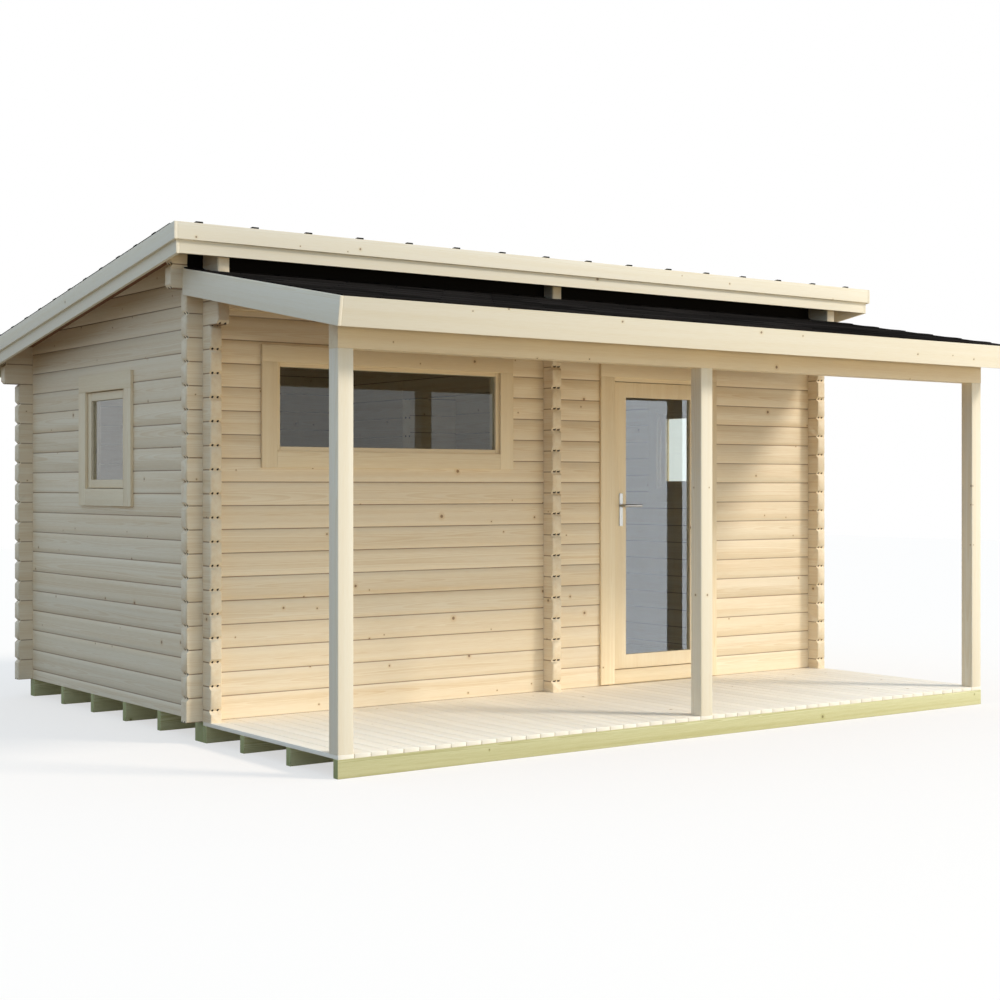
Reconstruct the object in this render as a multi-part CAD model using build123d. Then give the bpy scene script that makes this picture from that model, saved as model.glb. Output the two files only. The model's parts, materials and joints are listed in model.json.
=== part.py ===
from build123d import *
import math
import os

# An outdoor sauna: a log cabin of two rooms under a pent roof that falls to the back, with a veranda
# under a lower roof along its front. Lengths are in millimetres. X runs along the front, Y runs into
# the cabin and Z is up. The origin is on the ground, under the outer face of the front wall, halfway
# along it.

os.makedirs("parts", exist_ok=True)

# Log walls
cabin_width = 4820.0            # over the outer faces of the two side walls
cabin_depth = 2750.0            # over the outer faces of the front and back walls
wall_thick = 70.0
log_height = 134.0
front_rows = 20                 # logs in the front wall, whose top carries the roof
log_end = 100.0                 # how far a log runs on past the wall that it crosses
long_end = 195.0                # how far the top logs run on, to carry the roof's overhang
end_bevel = 20.0                # cut off the corners of each log end
groove = 4.0                    # depth of the V along each joint between two logs
notch_gap = 0.5                 # play of a log in the notches of the logs that it crosses
partition_x = -10.0             # middle of the partition between the two rooms

# Bearers, deck and floor
deck_thick = 22.0
joist_height = 95.0
joist_thick = 45.0              # of the deck's joists and the bearers between the walls
floor_seat = 30.0               # the bearers of the front and back walls reach this far under the floor
bearer_back = 30.0              # from the back wall's outer face to the last bearer
bearer_first = 594.0            # middle of the first bearer behind the front wall's own
bearer_pitch = 512.0
bearer_count = 4                # between those of the front and back walls
veranda_depth = 1519.0
veranda_joists = (-1030.0, -506.0)      # front faces of the two joists in the middle of the deck
floor_thick = 22.0
fit_gap = 0.5                   # between boards and what they are fitted between

# Veranda posts, beam and roof
post_size = 90.0
post_chamfer = 4.0              # along the four upright edges of each post
beam_height = 170.0
rafter_height = 95.0
rafter_thick = 45.0
rafters_per_bay = 5
rafter_margin = 5.0             # from the first rafter of a bay to the log ends beside it
rafter_seat = 19.0              # each rafter is cut this deep over the beam's front face
veranda_pitch = 9.9
veranda_drop = 271.0            # from the front wall's top down to the rafters' underside at the wall
veranda_overhang = 202.5        # from the beam's front face to the ends of the rafters' undersides
veranda_side = 103.0            # from a side wall's face to the bargeboard's inner face
trim_height = 145.0             # fascia and bargeboards of the veranda roof

# Main roof
roof_pitch = 8.8
roof_side = 250.0               # the roof boards reach this far beyond the side walls
roof_front = 227.0              # and this far beyond the front wall
roof_back = 230.0
roof_board = 20.0
shingle_thick = 8.0
trim_thick = 20.0               # every fascia, bargeboard and casing board
fascia_wide = 165.0             # inner board of the main roof's fascia
fascia_narrow = 95.0            # outer board, fixed over the top of the inner one

# Windows
window_bar = 45.0               # width of the long window's frame members
window_show = 25.0              # of it stands clear of the casing
settling_gap = 20.0             # over each frame, for the logs to settle
front_window_x = -1174.0
front_window_sill = 1520.0      # over the deck, to the casing's inner edge
front_window_width = 1560.0
front_window_height = 510.0
front_casing = 98.0
side_window_y = 1379.0
side_window_sill = 1301.0
side_window_width = 616.0
side_window_height = 610.0
side_casing = 108.0
lining_thick = 20.0
sash_bar = 52.0
sash_thick = 44.0
sash_gap = 4.0                  # round the sash, in its lining
sash_stop = 12.0                # the lining's stop reaches this far behind the sash
glass_thick = 6.0
glass_inset = 18.0              # from the frame's outer face to the glass
glass_rebate = 8.0              # depth of the groove that holds the glass
glass_gap = 0.3

# Doors
door_x = 920.5                  # middle of the door
door_width = 789.0              # between the casing's inner edges
door_sill = 98.0                # top of the sill, over the deck
door_clear = 5.0                # round the leaf
leaf_height = 1904.0
leaf_thick = 44.0
leaf_stile = 105.0
leaf_top_rail = 99.0
leaf_bottom_rail = 92.0
door_jamb = 35.0
door_head = 45.0
door_head_show = 27.0           # the frame's head stands this far below the casing
door_stop = 12.0
door_casing = 115.0
door_casing_head = 90.0
casing_lift = 8.0               # casing boards stop this far over the deck
doorway_y = 1375.0              # middle of the doorway in the partition
doorway_width = 700.0
doorway_joint = 14              # it is cut up to this joint of the partition's logs

# Door furniture
plate_width = 28.0
plate_height = 216.0
plate_thick = 6.0
plate_low = 1052.0              # over the deck
lever_inset = 60.0              # from the leaf's free edge to the spindle
lever_height = 1187.0           # over the deck
key_drop = 72.0                 # from the lever's axis down to the key hole's round part
key_round = 8.5                 # radius of its round part
key_slot = 10.0                 # width of the slot below it
key_slot_drop = 20.0            # from the middle of the round part to that of the slot's end
key_way = (2.0, 9.0, 12.0)      # width, height and depth of the cut for the key
lever_length = 140.0
lever_radius = 9.0
lever_reach = 50.0              # from the leaf's face to the middle of the lever
spindle_radius = 4.5
spindle_clear = 5.0             # round the spindle inside the leaf
pivot_gap = 0.1                 # play of a turning part in its hole
hinge_height = 45.0             # of each knuckle
hinge_pin = 4.0
hinge_knuckle = 7.0
hinge_leaf = 40.0               # width of each hinge plate
hinge_plate = 3.0
hinge_axis_out = 10.0           # from the casing's face to the pin's axis
hinge_axis_in = 2.5             # from the casing's inner edge to the pin's axis
hinge_levels = (250.0, 930.0, 1610.0)   # bottom of each hinge, over the leaf's bottom edge
hinge_gap = 0.3                 # between the two knuckles

# Values worked out from those above
deck_top = joist_height + deck_thick
half_width = cabin_width / 2
front_height = front_rows * log_height
roof_fall = math.tan(math.radians(roof_pitch))
roof_upright = 1 / math.cos(math.radians(roof_pitch))
veranda_sin = math.sin(math.radians(veranda_pitch))
veranda_cos = math.cos(math.radians(veranda_pitch))
veranda_rise = front_height - veranda_drop
veranda_slope = (veranda_depth + veranda_overhang) / veranda_cos
post_height = veranda_rise - veranda_depth * veranda_sin / veranda_cos + rafter_seat - beam_height
inside = half_width - wall_thick
side_spans = ((0.0, wall_thick), (cabin_depth - wall_thick, cabin_depth))
partition_span = (partition_x - wall_thick / 2, partition_x + wall_thick / 2)
long_spans = ((-half_width, -inside), partition_span, (inside, half_width))
bays = ((-inside, partition_span[0]), (partition_span[1], inside))
veranda_top = rafter_height + roof_board
veranda_front = veranda_slope + trim_thick
beam_top = deck_top + post_height + beam_height
half_door = door_width / 2
leaf_bottom = door_sill + door_clear
leaf_top = leaf_bottom + leaf_height
door_top = leaf_top + door_clear + door_head + settling_gap
rough_door = (door_x - half_door - door_jamb - fit_gap, door_x + half_door + door_jamb + fit_gap)
doorway = (doorway_y - doorway_width / 2, doorway_y + doorway_width / 2)
doorway_top = deck_top + (doorway_joint + 0.5) * log_height
hinge_x = door_x + half_door - hinge_axis_in
hinge_y = -trim_thick - hinge_axis_out
spindle_x = door_x - half_door + door_clear + lever_inset


def block(x0, x1, y0, y1, z0, z1):
    """A block between two corners."""
    middle = Pos((x0 + x1) / 2, (y0 + y1) / 2, (z0 + z1) / 2)
    return middle * Box(x1 - x0, y1 - y0, z1 - z0)


def across(points, x0, x1):
    """An outline of (y, z) points, drawn out along X."""
    outline = Polyline([(x0, y, z) for y, z in points], close=True)
    return extrude(make_face(outline), amount=x1 - x0, dir=(1, 0, 0))


def inward(points, y0, y1):
    """An outline of (x, z) points, drawn out along Y."""
    outline = Polyline([(x, y0, z) for x, z in points], close=True)
    return extrude(make_face(outline), amount=y1 - y0, dir=(0, 1, 0))


def save(name, *solids):
    """Write the solids of one sub-part to its file."""
    export_step(Compound(children=list(solids)), f"parts/{name}.step")


# The underside and the top of the main roof's boards, and the space above that underside
def roof_under(y):
    return deck_top + front_height - y * roof_fall


def roof_top(y):
    return roof_under(y) + roof_board * roof_upright


high = roof_under(-long_end) + log_height
roof_space = across(
    [
        (-cabin_depth, roof_under(-cabin_depth)),
        (2 * cabin_depth, roof_under(2 * cabin_depth)),
        (2 * cabin_depth, 2 * high),
        (-cabin_depth, 2 * high),
    ],
    -cabin_width,
    cabin_width,
)


# A wall is a stack of logs. Where walls cross, each log keeps the middle half of its height and is
# notched above and below, and the logs of the other wall, half a log higher, lie in the notches.
def wall_joints(first, height):
    """The levels between logs, from the wall's bottom to past its top."""
    joints = [0.0]
    level = first
    while level < height:
        joints.append(level)
        level += log_height
    joints.append(level)
    return joints


def log_ends(joints, start, side, long_from):
    """The edge of a wall, bottom to top, where its logs end beyond the last wall that they cross."""
    points = []
    for low, top in zip(joints, joints[1:]):
        reach = long_end if low >= long_from else log_end
        tip = start + side * reach
        shoulder = tip - side * end_bevel
        if low > 0:
            points.append((shoulder, low))
            points.append((tip, low + end_bevel))
        else:
            points.append((tip, low))
        points.append((tip, top - end_bevel))
        points.append((shoulder, top))
    joined = [points[0]]
    for point in points[1:]:
        if point != joined[-1]:
            joined.append(point)
    return joined


def log_profile(joints):
    """The cross-section of a wall, with a V along each joint on its outer face."""
    points = [(0.0, joints[0])]
    for level in joints[1:-1]:
        points += [(0.0, level - groove), (groove, level), (0.0, level + groove)]
    return points + [(0.0, joints[-1]), (wall_thick, joints[-1]), (wall_thick, joints[0])]


def log_wall(first, height, start, stop, crossings, long_left, long_right, grooved):
    """A wall along X with its outer face at Y = 0 and its bottom at Z = 0."""
    joints = wall_joints(first, height)
    left = log_ends(joints, start, -1, long_left)
    right = log_ends(joints, stop, 1, long_right)
    slab = inward(right + left[::-1], 0.0, wall_thick)
    notches = []
    half = log_height / 4 + notch_gap
    for level in joints:
        if level > 0 or first == log_height:
            for low, top in crossings:
                x0 = low - notch_gap
                x1 = top + notch_gap
                notches.append(block(x0, x1, -1.0, wall_thick + 1.0, level - half, level + half))
    if grooved:
        reach = long_end + 1.0
        slab = slab & across(log_profile(joints), start - reach, stop + reach)
    return slab - notches


# Rows that run on under the roof's overhang start at these levels: the top two in the front and back
# walls, and in the side walls the four that reach the roof in front and the two that do at the back.
full = log_height
half_log = log_height / 2
back_height = front_height - (cabin_depth - wall_thick) * roof_fall
back_rows = math.ceil(back_height / log_height)
front_long = (front_rows - 2) * full
back_long = (back_rows - 2) * full
side_long_front = half_log + (front_rows - 4) * full
side_long_back = half_log + (back_rows - 2) * full
side_height = front_height + long_end * roof_fall

front_wall = log_wall(full, front_height, -half_width, half_width, long_spans, front_long, front_long, True)
front_wall = Pos(0, 0, deck_top) * front_wall - roof_space
turned_spans = [(-far, -near) for near, far in long_spans]
back_wall = log_wall(full, back_height, -half_width, half_width, turned_spans, back_long, back_long, True)
back_wall = Pos(0, cabin_depth, deck_top) * Rot(0, 0, 180) * back_wall - roof_space
side_long = (side_long_front, side_long_back)
right_wall = log_wall(half_log, side_height, 0, cabin_depth, side_spans, *side_long, True)
right_wall = Pos(half_width, 0, deck_top) * Rot(0, 0, 90) * right_wall - roof_space
left_wall = mirror(right_wall, Plane.YZ)
partition = log_wall(half_log, side_height, 0, cabin_depth, side_spans, math.inf, math.inf, False)
partition = Pos(partition_span[1], 0, deck_top) * Rot(0, 0, 90) * partition - roof_space


# A window or door is a frame in the rough opening, with casing boards over the joint inside and out.
# These are made about the middle of the opening's lower edge, with the wall's outer face at Y = 0.
def board_ring(width, low, top, side, over, under, y0, y1):
    """Four boards round an opening: the upright ones run through, the others butt between them."""
    half = width / 2
    boards = [
        block(-half - side, -half, y0, y1, low - under, top + over),
        block(half, half + side, y0, y1, low - under, top + over),
        block(-half + fit_gap, half - fit_gap, y0, y1, top, top + over),
    ]
    if under > 0:
        boards.append(block(-half + fit_gap, half - fit_gap, y0, y1, low - under, low))
    return boards


def window_casing(width, height, board):
    """The casing of a window, on the outer and the inner face of the wall."""
    outer = board_ring(width, 0, height, board, board, board, -trim_thick, 0)
    inner = board_ring(width, 0, height, board, board, board, wall_thick, wall_thick + trim_thick)
    return outer + inner


def pane(half, low, top, y0, grown):
    """A sheet of glass, or with a grown edge the groove that holds it."""
    edge = half + glass_rebate + grown
    return block(-edge, edge, y0 - grown, y0 + glass_thick + grown, low - glass_rebate - grown,
                 top + glass_rebate + grown)


def long_window():
    """Frame members and glass of the fixed window beside the door."""
    width = front_window_width - 2 * window_show
    low = window_show
    top = front_window_height - window_show
    frame = board_ring(width, low, top, window_bar, window_bar, window_bar, 0, wall_thick)
    groove_space = pane(width / 2, low, top, glass_inset, glass_gap)
    return [bar - groove_space for bar in frame], pane(width / 2, low, top, glass_inset, 0)


def side_window():
    """Lining, sash and glass of a side window. The sash closes against the lining's stop."""
    width = side_window_width
    top = side_window_height
    lining = board_ring(width, 0, top, lining_thick, lining_thick, lining_thick, 0, wall_thick)
    stop = sash_gap + sash_stop
    stops = board_ring(width - 2 * stop, stop, top - stop, stop, stop, stop, sash_thick, wall_thick)
    lining = [board + strip for board, strip in zip(lining, stops)]
    inner = width - 2 * (sash_gap + sash_bar)
    low = sash_gap + sash_bar
    high_edge = top - low
    sash = board_ring(inner, low, high_edge, sash_bar, sash_bar, sash_bar, 0, sash_thick)
    groove_space = pane(inner / 2, low, high_edge, glass_inset, glass_gap)
    sash = [bar - groove_space for bar in sash]
    return lining, sash, pane(inner / 2, low, high_edge, glass_inset, 0)


def placed(place, solids):
    return [place * solid for solid in solids]


# The long window in the front wall
front_place = Pos(front_window_x, 0, deck_top + front_window_sill)
hidden = window_bar - window_show
front_rough = front_place * block(
    -front_window_width / 2 - hidden - fit_gap,
    front_window_width / 2 + hidden + fit_gap,
    -1,
    wall_thick + 1,
    -hidden,
    front_window_height + hidden + settling_gap,
)
frame_bars, long_pane = long_window()
long_casing = window_casing(front_window_width, front_window_height, front_casing)
save("front_window_casing", *placed(front_place, long_casing))
save("front_window_frame", *placed(front_place, frame_bars))
save("front_window_glass", front_place * long_pane)

# The front wall, parted at the door's rough opening
left_part = front_wall & block(-cabin_width, rough_door[0], -1, wall_thick + 1, 0, 2 * high)
left_part = left_part - front_rough
right_part = front_wall & block(rough_door[1], cabin_width, -1, wall_thick + 1, 0, 2 * high)
over_part = front_wall & block(*rough_door, -1, wall_thick + 1, deck_top + door_top, 2 * high)
save("front_wall_left", left_part)
save("front_wall_over_door", over_part)
save("front_wall_right", right_part)
save("back_wall", back_wall)

# The side walls and their windows
side_places = {
    "left": Pos(-half_width, side_window_y, deck_top + side_window_sill) * Rot(0, 0, -90),
    "right": Pos(half_width, side_window_y, deck_top + side_window_sill) * Rot(0, 0, 90),
}
side_rough = block(
    -side_window_width / 2 - lining_thick - fit_gap,
    side_window_width / 2 + lining_thick + fit_gap,
    -1,
    wall_thick + 1,
    -lining_thick,
    side_window_height + lining_thick + settling_gap,
)
lining_boards, sash_bars, side_pane = side_window()
for side, wall in (("left", left_wall), ("right", right_wall)):
    place = side_places[side]
    save(f"{side}_wall", wall - place * side_rough)
    casing = window_casing(side_window_width, side_window_height, side_casing)
    save(f"{side}_window_casing", *placed(place, casing))
    save(f"{side}_window_lining", *placed(place, lining_boards))
    save(f"{side}_window_sash", *placed(place, sash_bars))
    save(f"{side}_window_glass", place * side_pane)

# The partition, parted at its doorway
save("partition_front", partition & block(-half_width, half_width, -cabin_depth, doorway[0], 0, 2 * high))
save("partition_rear", partition & block(-half_width, half_width, doorway[1], 2 * cabin_depth, 0, 2 * high))
save("partition_over_doorway", partition & block(-half_width, half_width, *doorway, doorway_top, 2 * high))


# The door. Its frame has a stop that the leaf closes against from outside.
def door_frame():
    """Two jambs, the head and the sill, in the rough opening."""
    low = door_sill
    top = leaf_top + door_clear
    y1 = wall_thick
    jamb_left = block(-half_door - door_jamb, -half_door, 0, y1, 0, top + door_head)
    jamb_right = block(half_door, half_door + door_jamb, 0, y1, 0, top + door_head)
    head = block(-half_door + fit_gap, half_door - fit_gap, 0, y1, top, top + door_head)
    sill = block(-half_door + fit_gap, half_door - fit_gap, 0, y1, 0, low)
    stop = door_clear + door_stop
    y0 = leaf_thick + door_clear
    side_stop = half_door - stop
    jamb_left += block(-half_door, -side_stop, y0, y1, low + fit_gap, top - fit_gap)
    jamb_right += block(side_stop, half_door, y0, y1, low + fit_gap, top - fit_gap)
    head += block(-side_stop + fit_gap, side_stop - fit_gap, y0, y1, top - stop, top)
    sill += block(-side_stop + fit_gap, side_stop - fit_gap, y0, y1, low, low + stop)
    return [jamb_left, jamb_right, head, sill]


def door_casings():
    """Boards round the door: four outside, with one before the sill, and three inside."""
    top = leaf_top + door_clear + door_head_show
    outer = board_ring(door_width, door_sill, top, door_casing, door_casing_head,
                       door_sill - casing_lift, -trim_thick, 0)
    inner = board_ring(door_width, floor_thick + fit_gap, top, door_casing, door_casing_head,
                       0, wall_thick, wall_thick + trim_thick)
    return outer + inner


door_place = Pos(door_x, 0, deck_top)
save("door_frame", *placed(door_place, door_frame()))
save("door_casing", *placed(door_place, door_casings()))

half_leaf = half_door - door_clear
half_glass = half_leaf - leaf_stile
glass_low = leaf_bottom + leaf_bottom_rail
glass_top = leaf_top - leaf_top_rail
leaf = block(-half_leaf, half_leaf, 0, leaf_thick, leaf_bottom, leaf_top)
leaf -= block(-half_glass, half_glass, -1, leaf_thick + 1, glass_low, glass_top)
leaf -= pane(half_glass, glass_low, glass_top, glass_inset, glass_gap)
spindle_place = Pos(spindle_x - door_x, 0, lever_height) * Rot(-90, 0, 0)


def along_pin(radius, y0, y1):
    """A round bar on the lever's axis, which runs along Y."""
    return spindle_place * Pos(0, 0, (y0 + y1) / 2) * Cylinder(radius, y1 - y0)


def lock_bar(grown, y0, y1):
    """A bar along Y with the section of a lock cylinder, or with a grown edge the hole for it."""
    radius = key_slot / 2 + grown
    outline = Circle(key_round + grown)
    outline += Pos(0, key_slot_drop / 2) * Rectangle(2 * radius, key_slot_drop)
    outline += Pos(0, key_slot_drop) * Circle(radius)
    return spindle_place * Pos(0, key_drop, y0) * extrude(outline, amount=y1 - y0)


leaf -= along_pin(spindle_radius + spindle_clear, -1, leaf_thick + 1)
leaf -= lock_bar(pivot_gap, -1, leaf_thick + 1)
save("door_leaf", door_place * leaf)
save("door_glass", door_place * pane(half_glass, glass_low, glass_top, glass_inset, 0))

# Handle plates on both faces of the leaf, the lock cylinder, and the two levers on their spindle
plates = []
for y0, y1 in ((-plate_thick, 0), (leaf_thick, leaf_thick + plate_thick)):
    plate = block(
        spindle_x - door_x - plate_width / 2,
        spindle_x - door_x + plate_width / 2,
        y0,
        y1,
        plate_low,
        plate_low + plate_height,
    )
    plate -= along_pin(lever_radius + pivot_gap, y0 - 1, y1 + 1)
    plates.append(plate - lock_bar(pivot_gap, y0 - 1, y1 + 1))

# The lock cylinder runs through the leaf, flush with both plates, with a cut for the key in each end
cylinder = lock_bar(0, -plate_thick, leaf_thick + plate_thick)
way_width, way_height, way_depth = key_way
for y in (-plate_thick, leaf_thick + plate_thick):
    key_cut = Pos(spindle_x - door_x, y, lever_height - key_drop)
    cylinder -= key_cut * Box(way_width, 2 * way_depth, way_height)
save("door_handle_plates", *placed(door_place, plates), door_place * cylinder)

lever = along_pin(spindle_radius, -plate_thick, leaf_thick + plate_thick)
for y_near, y_far in ((-plate_thick, -lever_reach), (leaf_thick + plate_thick, leaf_thick + lever_reach)):
    inner_end = y_near + math.copysign(plate_thick, -y_far)
    lever += along_pin(lever_radius, min(inner_end, y_far), max(inner_end, y_far))
    grip = Pos(spindle_x - door_x + lever_length / 2, y_far, lever_height) * Rot(0, 90, 0)
    lever += grip * Cylinder(lever_radius, lever_length)
    lever += Pos(spindle_x - door_x, y_far, lever_height) * Sphere(lever_radius)
save("door_lever", door_place * lever)


# Each hinge has its lower knuckle and pin on the casing, and its upper knuckle on the leaf
def hinge_halves(level):
    """The casing's half and the leaf's half of one hinge, at its place."""
    low = deck_top + leaf_bottom + level
    middle = low + hinge_height
    top = middle + hinge_gap + hinge_height
    edge = door_x + half_door
    axis = Pos(hinge_x, hinge_y, 0)
    fixed = axis * Pos(0, 0, (low + middle) / 2) * Cylinder(hinge_knuckle, hinge_height)
    fixed += block(hinge_x, edge + hinge_leaf, -trim_thick - hinge_plate, -trim_thick, low, middle)
    fixed += block(hinge_x, hinge_x + hinge_knuckle, hinge_y, -trim_thick, low, middle)
    fixed -= block(hinge_x - hinge_knuckle, edge, -trim_thick, 0, low - 1, middle + 1)
    fixed += axis * Pos(0, 0, (middle + top) / 2) * Cylinder(hinge_pin, top - middle)
    upper_low = middle + hinge_gap
    web_right = edge - door_clear
    moving = axis * Pos(0, 0, (upper_low + top) / 2) * Cylinder(hinge_knuckle, hinge_height)
    moving += block(web_right - hinge_leaf, web_right, -hinge_plate, 0, upper_low, top)
    moving += block(web_right - hinge_knuckle, web_right, hinge_y, 0, upper_low, top)
    moving -= axis * Pos(0, 0, (middle + top) / 2) * Cylinder(hinge_pin + pivot_gap, 2 * hinge_height)
    return fixed, moving


hinges = [hinge_halves(level) for level in hinge_levels]
save("door_hinges_casing_side", *[fixed for fixed, moving in hinges])
save("door_hinges_leaf_side", *[moving for fixed, moving in hinges])

# Bearers under the cabin, and its floor, which is laid room by room
bearer_spans = [(0, wall_thick + floor_seat)]
for k in range(bearer_count):
    middle = bearer_first + bearer_pitch * k
    bearer_spans.append((middle - joist_thick / 2, middle + joist_thick / 2))
bearer_spans.append((cabin_depth - wall_thick - floor_seat, cabin_depth - bearer_back))
bearers = [block(-half_width, half_width, *span, 0, deck_top) for span in bearer_spans]
save("cabin_bearers", *bearers)

floor_low = deck_top
floor_top = deck_top + floor_thick
floor_span = (wall_thick + fit_gap, cabin_depth - wall_thick - fit_gap)
floors = [block(x0 + fit_gap, x1 - fit_gap, *floor_span, floor_low, floor_top) for x0, x1 in bays]
threshold = block(
    partition_span[0] + fit_gap,
    partition_span[1] - fit_gap,
    doorway[0] + fit_gap,
    doorway[1] - fit_gap,
    floor_low,
    floor_top,
)
save("floor_boards", *floors, threshold)

# The veranda's joists and deck
joist_rows = (-veranda_depth, *veranda_joists, -joist_thick)
joists = [block(-half_width, half_width, y, y + joist_thick, 0, joist_height) for y in joist_rows]
save("veranda_joists", *joists)
save("veranda_deck", block(-half_width, half_width, -veranda_depth, 0, joist_height, deck_top))

# Posts and the beam on them
post_middles = (-half_width + post_size / 2, 0.0, half_width - post_size / 2)
beam_span = (-veranda_depth, -veranda_depth + post_size)
beam_low = deck_top + post_height
posts = []
for x in post_middles:
    post = block(x - post_size / 2, x + post_size / 2, *beam_span, deck_top, beam_low)
    posts.append(chamfer(post.edges().filter_by(Axis.Z), post_chamfer))
save("veranda_posts", *posts)
save("veranda_beam", block(-half_width, half_width, *beam_span, beam_low, beam_top))


# The veranda roof. A point of it is given by its distance down the slope from the wall and its height
# square to the slope over the rafters' underside.
def on_slope(down, over):
    y = -down * veranda_cos - over * veranda_sin
    z = deck_top + veranda_rise - down * veranda_sin + over * veranda_cos
    return (y, z)


def slope_band(low, top, down, x0, x1):
    """A layer of the roof from the wall down to a cut square to the slope."""
    wall_low = deck_top + veranda_rise + low / veranda_cos
    wall_top = deck_top + veranda_rise + top / veranda_cos
    return across([(0, wall_low), (0, wall_top), on_slope(down, top), on_slope(down, low)], x0, x1)


ledger_top = deck_top + veranda_rise
ledgers = [
    block(x0 + fit_gap, x1 - fit_gap, -joist_thick, 0, ledger_top - joist_height, ledger_top)
    for x0, x1 in bays
]
save("veranda_ledger", *ledgers)

seats = [
    block(-half_width, half_width, *beam_span, 0, beam_top),
    block(-half_width, half_width, -joist_thick, 0, 0, ledger_top),
]
rafters = []
for x0, x1 in bays:
    first_rafter = x0 + rafter_margin
    pitch = (x1 - x0 - 2 * rafter_margin - rafter_thick) / (rafters_per_bay - 1)
    for k in range(rafters_per_bay):
        x = first_rafter + k * pitch
        rafters.append(slope_band(0, rafter_height, veranda_slope, x, x + rafter_thick) - seats)
save("veranda_rafters", *rafters)

roof_half = half_width + veranda_side
side_reach = long_end + 2 * fit_gap
short_reach = log_end + 2 * fit_gap
log_slots = [
    block(-half_width - 2 * fit_gap, -inside + 2 * fit_gap, -side_reach, 1, 0, 2 * high),
    block(inside - 2 * fit_gap, half_width + 2 * fit_gap, -side_reach, 1, 0, 2 * high),
    block(partition_span[0] - 2 * fit_gap, partition_span[1] + 2 * fit_gap, -short_reach, 1, 0, 2 * high),
]
boards = slope_band(rafter_height, veranda_top, veranda_slope, -roof_half, roof_half)
save("veranda_roof_boards", boards - log_slots)
trim_half = roof_half + trim_thick
shingles = slope_band(veranda_top, veranda_top + shingle_thick, veranda_front, -trim_half, trim_half)
save("veranda_shingles", shingles - log_slots)

fascia_low = veranda_top - trim_height
veranda_fascia = across(
    [
        on_slope(veranda_slope, fascia_low),
        on_slope(veranda_front, fascia_low),
        on_slope(veranda_front, veranda_top),
        on_slope(veranda_slope, veranda_top),
    ],
    -roof_half,
    roof_half,
)
save("veranda_fascia", veranda_fascia)
bargeboards = [
    slope_band(fascia_low, veranda_top, veranda_front, -trim_half, -roof_half),
    slope_band(fascia_low, veranda_top, veranda_front, roof_half, trim_half),
]
save("veranda_bargeboards", *bargeboards)


# The main roof: boards, shingles, and a fascia of two boards all round, cut plumb
def roof_band(low, top, y0, y1, x0, x1):
    """A layer parallel to the roof, its heights measured square to the roof boards' underside."""
    outline = [
        (y0, roof_under(y0) + low * roof_upright),
        (y1, roof_under(y1) + low * roof_upright),
        (y1, roof_under(y1) + top * roof_upright),
        (y0, roof_under(y0) + top * roof_upright),
    ]
    return across(outline, x0, x1)


def fascia_board(y_in, y_out, height, reach):
    """An upright board along the front or back edge, its top cut to the roof's slope."""
    low = roof_top(y_out) - height
    outline = [(y_in, low), (y_out, low), (y_out, roof_top(y_out)), (y_in, roof_top(y_in))]
    return across(outline, -reach, reach)


board_half = half_width + roof_side
wide_half = board_half + trim_thick
narrow_half = wide_half + trim_thick
front_edges = (-roof_front, -roof_front - trim_thick, -roof_front - 2 * trim_thick)
back_end = cabin_depth + roof_back
back_edges = (back_end, back_end + trim_thick, back_end + 2 * trim_thick)

save("main_roof_boards", roof_band(0, roof_board, front_edges[0], back_edges[0], -board_half, board_half))
roof_edges = (front_edges[2], back_edges[2])
cover = roof_band(roof_board, roof_board + shingle_thick, *roof_edges, -narrow_half, narrow_half)
save("main_roof_shingles", cover)
for name, edges in (("main_front_fascia", front_edges), ("main_rear_fascia", back_edges)):
    wide = fascia_board(edges[0], edges[1], fascia_wide, board_half)
    narrow = fascia_board(edges[1], edges[2], fascia_narrow, wide_half)
    save(name, wide + narrow)
for name, sign in (("main_bargeboard_left", -1), ("main_bargeboard_right", 1)):
    near = sorted((sign * board_half, sign * wide_half))
    far = sorted((sign * wide_half, sign * narrow_half))
    wide = roof_band(roof_board - fascia_wide, roof_board, front_edges[1], back_edges[1], *near)
    narrow = roof_band(roof_board - fascia_narrow, roof_board, front_edges[2], back_edges[2], *far)
    save(name, wide + narrow)
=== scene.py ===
# %% [markdown]
# # An outdoor sauna: log walls, boards, bitumen shingles and glass
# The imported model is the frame: it is loaded first and stays as it is. Everything below either
# gives one of its nodes a finish, or puts a piece with rounded edges or single boards in a node's
# own space.

# %% Load the frame
import json
import math
import random
from functools import partial

import bmesh
import bpy
from mathutils import Matrix, Vector

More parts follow.
